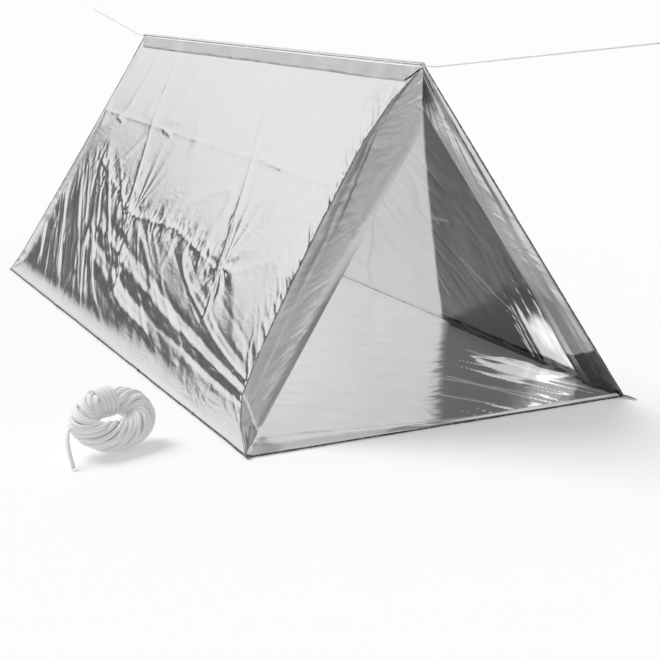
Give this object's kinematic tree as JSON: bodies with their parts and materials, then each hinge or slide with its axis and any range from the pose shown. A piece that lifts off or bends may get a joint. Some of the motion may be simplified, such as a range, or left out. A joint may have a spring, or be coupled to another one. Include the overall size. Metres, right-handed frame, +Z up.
{
  "type": "bivy sack",
  "caption": "Reflective film bivy sack pitched as an A-frame tube shelter over a ridge cord, with folding walls, turned-in end flaps and a hank of spare cord.",
  "frame": {"origin": "centre of the floor sheet's underside, on the ground", "axes": "+Z up, +Y along the ridge towards the rear, +X across the floor towards the creased right wall"},
  "size_m": [1.3819, 3.3753, 0.8883],
  "materials": {
    "film": "crinkled mirror-bright metallised film",
    "ridge_strip": "satin doubled film",
    "seam_edge": "dark folded seam edge",
    "tab_tape": "dark tape",
    "cord": "matt white twisted cord",
    "knot": "dark bound knot"
  },
  "bodies": {
    "floor": {"floor_sheet": "film", "left_base_seam": "seam_edge", "right_base_seam": "seam_edge", "front_left_corner_tab": "tab_tape", "front_right_corner_tab": "tab_tape", "rear_left_corner_tab": "tab_tape", "rear_right_corner_tab": "tab_tape", "front_floor_flap_seam": "seam_edge", "rear_floor_flap_seam": "seam_edge"},
    "left_wall": {"left_wall_sheet": "film", "ridge_tunnel": "film", "ridge_strip": "ridge_strip", "front_left_flap_seam": "seam_edge", "rear_left_flap_seam": "seam_edge"},
    "right_wall_lower": {"right_wall_lower_sheet": "film", "front_tie_tab": "tab_tape", "rear_tie_tab": "tab_tape", "front_right_lower_flap_seam": "seam_edge", "rear_right_lower_flap_seam": "seam_edge"},
    "right_wall_upper": {"right_wall_upper_sheet": "film", "front_right_upper_flap_seam": "seam_edge", "rear_right_upper_flap_seam": "seam_edge"},
    "front_left_flap": {"front_left_flap": "film"},
    "front_right_lower_flap": {"front_right_lower_flap": "film"},
    "front_right_upper_flap": {"front_right_upper_flap": "film"},
    "front_floor_flap": {"front_floor_flap": "film"},
    "rear_left_flap": {"rear_left_flap": "film"},
    "rear_right_lower_flap": {"rear_right_lower_flap": "film"},
    "rear_right_upper_flap": {"rear_right_upper_flap": "film"},
    "rear_floor_flap": {"rear_floor_flap": "film"},
    "ridge_cord": {"ridge_cord": "cord", "front_stop_knot": "knot", "rear_stop_knot": "knot"},
    "cord_hank": {"hank_coil": "cord", "hank_wrap": "cord", "hank_tail": "cord"}
  },
  "joints": [
    {"name": "shelter_collapse", "type": "hinge", "parent": "floor", "child": "left_wall", "pos_m": [-0.5, 0, 0.004], "axis": [0, 1, 0], "range_deg": [0, 56.52], "deforming": ["front_left_flap", "front_right_lower_flap", "front_right_upper_flap", "front_floor_flap", "rear_left_flap", "rear_right_lower_flap", "rear_right_upper_flap", "rear_floor_flap"]},
    {"name": "right_wall_lower_fold", "type": "hinge", "parent": "floor", "child": "right_wall_lower", "pos_m": [0.5, 0, 0.004], "axis": [0, 1, 0], "range_deg": [0, 120.89]},
    {"name": "right_wall_crease_fold", "type": "hinge", "parent": "right_wall_lower", "child": "right_wall_upper", "pos_m": [0.26327, 0, 0.38192], "axis": [0, -1, 0], "range_deg": [0, 176.92]},
    {"name": "front_left_flap_swing", "type": "hinge", "parent": "left_wall", "child": "front_left_flap", "pos_m": [-0.24085, -1.01244, 0.42019], "axis": [-0.5229, -0.1464, -0.8397], "range_deg": [0, 138]},
    {"name": "front_right_lower_flap_swing", "type": "hinge", "parent": "right_wall_lower", "child": "front_right_lower_flap", "pos_m": [0.37352, -1.04958, 0.20713], "axis": [-0.5229, 0.1464, 0.8397], "range_deg": [0, 165]},
    {"name": "front_right_upper_flap_swing", "type": "hinge", "parent": "right_wall_upper", "child": "front_right_upper_flap", "pos_m": [0.13162, -0.98185, 0.59562], "axis": [-0.5229, 0.1464, 0.8397], "range_deg": [0, 165]},
    {"name": "front_floor_flap_swing", "type": "hinge", "parent": "floor", "child": "front_floor_flap", "pos_m": [0, -1.085, 0.0022], "axis": [1, 0, 0], "range_deg": [0, 175]},
    {"name": "rear_left_flap_swing", "type": "hinge", "parent": "left_wall", "child": "rear_left_flap", "pos_m": [-0.24078, 1.04612, 0.42031], "axis": [0.5269, -0.079, 0.8462], "range_deg": [0, 138]},
    {"name": "rear_right_lower_flap_swing", "type": "hinge", "parent": "right_wall_lower", "child": "rear_right_lower_flap", "pos_m": [0.37345, 1.06602, 0.20724], "axis": [0.5269, 0.079, -0.8462], "range_deg": [0, 165]},
    {"name": "rear_right_upper_flap_swing", "type": "hinge", "parent": "right_wall_upper", "child": "rear_right_upper_flap", "pos_m": [0.13162, 1.02974, 0.59562], "axis": [0.5269, 0.079, -0.8462], "range_deg": [0, 165]},
    {"name": "rear_floor_flap_swing", "type": "hinge", "parent": "floor", "child": "rear_floor_flap", "pos_m": [0, 1.085, 0.0022], "axis": [-1, 0, 0], "range_deg": [0, 175]},
    {"name": "ridge_cord_slide", "type": "slide", "parent": "left_wall", "child": "ridge_cord", "axis": [0, 1, 0], "range_m": [-0.012, 0.012]},
    {"name": "hank_lift", "type": "slide", "parent": "floor", "child": "cord_hank", "axis": [0, 0, 1], "range_m": [0, 0.25]}
  ],
  "couplings": [
    {"joint": "right_wall_lower_fold", "follows": "shelter_collapse", "ratio": 2.1389},
    {"joint": "right_wall_crease_fold", "follows": "shelter_collapse", "ratio": 3.1303}
  ]
}
